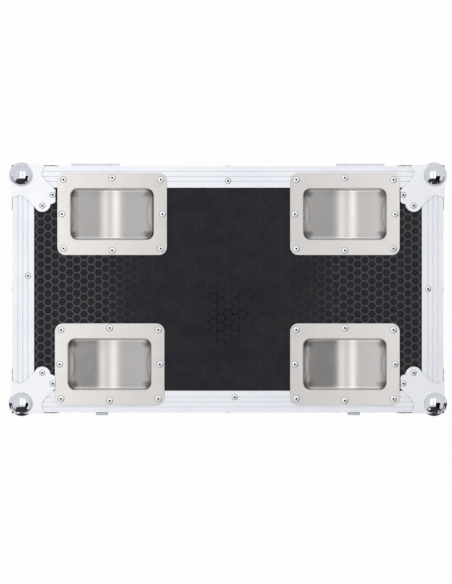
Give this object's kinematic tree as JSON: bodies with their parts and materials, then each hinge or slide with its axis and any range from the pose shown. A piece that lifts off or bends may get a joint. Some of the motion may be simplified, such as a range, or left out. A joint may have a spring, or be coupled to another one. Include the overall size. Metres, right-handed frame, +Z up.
{
  "type": "lighting flight case",
  "caption": "Black road case in aluminium edging with ball corners, castor dishes on a hinged lid, butterfly latches, spring handles and swivel castors",
  "frame": {"origin": "on the floor under the middle of the closed case, castors standing on the floor", "axes": "+Z up, -Y the front with the latches, +Y the back with the hinges, +X to the right seen from the front"},
  "size_m": [0.7126, 0.4132, 0.6693],
  "materials": {
    "black_laminate": "plywood faced with satin black film, embossed with a hexagon pattern",
    "anodised_aluminium": "bright anodised extrusion with fine grooves",
    "chrome_steel": "bright plated pressed steel",
    "stainless_steel": "warm brushed stainless steel",
    "zinc_steel": "bright zinc plated steel",
    "castor_steel": "zinc plated pressed steel",
    "wheel_rubber": "matt dark rubber tread on a nylon centre",
    "grip_rubber": "matt black moulded grip on a steel bar",
    "brake_plastic": "dull red moulded pedal",
    "black_foam": "matt dark grey open-cell foam",
    "divider_wood": "black faced plywood with a bare edge"
  },
  "bodies": {
    "base": {"base_back_panel": "black_laminate", "base_bottom_panel": "black_laminate", "base_closing_rim": "anodised_aluminium", "base_corner_back_left": "chrome_steel", "base_corner_back_right": "chrome_steel", "base_corner_front_left": "chrome_steel", "base_corner_front_right": "chrome_steel", "base_edging": "anodised_aluminium", "base_foam_pad": "black_foam", "base_front_panel": "black_laminate", "base_left_panel": "black_laminate", "base_right_panel": "black_laminate", "castor_plate_back_left": "castor_steel", "castor_plate_back_right": "castor_steel", "castor_plate_front_left": "castor_steel", "castor_plate_front_right": "castor_steel", "divider": "divider_wood", "handle_dish_left": "zinc_steel", "handle_dish_right": "zinc_steel", "hinge_base_leaf_left": "zinc_steel", "hinge_base_leaf_right": "zinc_steel", "latch_dish_left": "zinc_steel", "latch_dish_right": "zinc_steel"},
    "lid": {"castor_dish_back_left": "stainless_steel", "castor_dish_back_right": "stainless_steel", "castor_dish_front_left": "stainless_steel", "castor_dish_front_right": "stainless_steel", "hinge_lid_leaf_left": "zinc_steel", "hinge_lid_leaf_right": "zinc_steel", "latch_keeper_left": "zinc_steel", "latch_keeper_right": "zinc_steel", "lid_back_panel": "black_laminate", "lid_closing_rim": "anodised_aluminium", "lid_corner_back_left": "chrome_steel", "lid_corner_back_right": "chrome_steel", "lid_corner_front_left": "chrome_steel", "lid_corner_front_right": "chrome_steel", "lid_edging": "anodised_aluminium", "lid_foam_pad": "black_foam", "lid_front_panel": "black_laminate", "lid_left_panel": "black_laminate", "lid_right_panel": "black_laminate", "lid_top_panel": "black_laminate"},
    "castor_fork_back_left": {"castor_fork_back_left": "castor_steel"},
    "castor_wheel_back_left": {"castor_wheel_back_left": "wheel_rubber"},
    "castor_fork_back_right": {"castor_fork_back_right": "castor_steel"},
    "castor_wheel_back_right": {"castor_wheel_back_right": "wheel_rubber"},
    "castor_fork_front_right": {"castor_fork_front_right": "castor_steel"},
    "castor_wheel_front_right": {"castor_wheel_front_right": "wheel_rubber"},
    "castor_fork_front_left": {"castor_fork_front_left": "castor_steel"},
    "castor_wheel_front_left": {"castor_wheel_front_left": "wheel_rubber"},
    "latch_handle_left": {"latch_handle_left": "zinc_steel"},
    "latch_tongue_left": {"latch_tongue_left": "zinc_steel"},
    "handle_bail_left": {"handle_bail_left": "grip_rubber"},
    "brake_pedal_front_left": {"brake_pedal_front_left": "brake_plastic"},
    "latch_handle_right": {"latch_handle_right": "zinc_steel"},
    "latch_tongue_right": {"latch_tongue_right": "zinc_steel"},
    "handle_bail_right": {"handle_bail_right": "grip_rubber"},
    "brake_pedal_front_right": {"brake_pedal_front_right": "brake_plastic"}
  },
  "joints": [
    {"name": "lid_hinge", "type": "hinge", "parent": "base", "child": "lid", "pos_m": [0, 0.2033, 0.548], "axis": [-1, 0, 0], "range_deg": [0, 100]},
    {"name": "latch_turn_left", "type": "hinge", "parent": "base", "child": "latch_handle_left", "pos_m": [-0.207, -0.2018, 0.506], "axis": [0, -1, 0], "range_deg": [0, 180]},
    {"name": "tongue_slide_left", "type": "slide", "parent": "base", "child": "latch_tongue_left", "axis": [0, 0.2763, -0.9611], "range_m": [0, 0.00832]},
    {"name": "latch_turn_right", "type": "hinge", "parent": "base", "child": "latch_handle_right", "pos_m": [0.207, -0.2018, 0.506], "axis": [0, -1, 0], "range_deg": [0, 180]},
    {"name": "tongue_slide_right", "type": "slide", "parent": "base", "child": "latch_tongue_right", "axis": [0, 0.2763, -0.9611], "range_m": [0, 0.00832]},
    {"name": "bail_left", "type": "hinge", "parent": "base", "child": "handle_bail_left", "pos_m": [-0.3406, 0, 0.4124], "axis": [0, 1, 0], "range_deg": [0, 90], "stiffness_Nm_per_rad": 0.15},
    {"name": "bail_right", "type": "hinge", "parent": "base", "child": "handle_bail_right", "pos_m": [0.3406, 0, 0.4124], "axis": [0, -1, 0], "range_deg": [0, 90], "stiffness_Nm_per_rad": 0.15},
    {"name": "castor_swivel_back_left", "type": "hinge", "parent": "base", "child": "castor_fork_back_left", "pos_m": [-0.223, 0.122, 0.1295], "axis": [0, 0, 1], "continuous": true},
    {"name": "wheel_spin_back_left", "type": "hinge", "parent": "castor_fork_back_left", "child": "castor_wheel_back_left", "pos_m": [-0.191, 0.122, 0.05], "axis": [0, 1, 0], "continuous": true},
    {"name": "castor_swivel_back_right", "type": "hinge", "parent": "base", "child": "castor_fork_back_right", "pos_m": [0.223, 0.122, 0.1295], "axis": [0, 0, 1], "continuous": true},
    {"name": "wheel_spin_back_right", "type": "hinge", "parent": "castor_fork_back_right", "child": "castor_wheel_back_right", "pos_m": [0.191, 0.122, 0.05], "axis": [0, 1, 0], "continuous": true},
    {"name": "castor_swivel_front_right", "type": "hinge", "parent": "base", "child": "castor_fork_front_right", "pos_m": [0.223, -0.122, 0.1295], "axis": [0, 0, 1], "continuous": true},
    {"name": "wheel_spin_front_right", "type": "hinge", "parent": "castor_fork_front_right", "child": "castor_wheel_front_right", "pos_m": [0.191, -0.122, 0.05], "axis": [0, 1, 0], "continuous": true},
    {"name": "castor_swivel_front_left", "type": "hinge", "parent": "base", "child": "castor_fork_front_left", "pos_m": [-0.223, -0.122, 0.1295], "axis": [0, 0, 1], "continuous": true},
    {"name": "wheel_spin_front_left", "type": "hinge", "parent": "castor_fork_front_left", "child": "castor_wheel_front_left", "pos_m": [-0.191, -0.122, 0.05], "axis": [0, 1, 0], "continuous": true},
    {"name": "brake_left", "type": "hinge", "parent": "castor_fork_front_left", "child": "brake_pedal_front_left", "pos_m": [-0.177, -0.122, 0.1068], "axis": [0, 1, 0], "range_deg": [0, 12]},
    {"name": "brake_right", "type": "hinge", "parent": "castor_fork_front_right", "child": "brake_pedal_front_right", "pos_m": [0.177, -0.122, 0.1068], "axis": [0, -1, 0], "range_deg": [0, 12]}
  ],
  "couplings": [
    {"joint": "tongue_slide_left", "follows": "latch_turn_left", "m_per_rad": 0.0026496},
    {"joint": "tongue_slide_right", "follows": "latch_turn_right", "m_per_rad": 0.0026496}
  ]
}
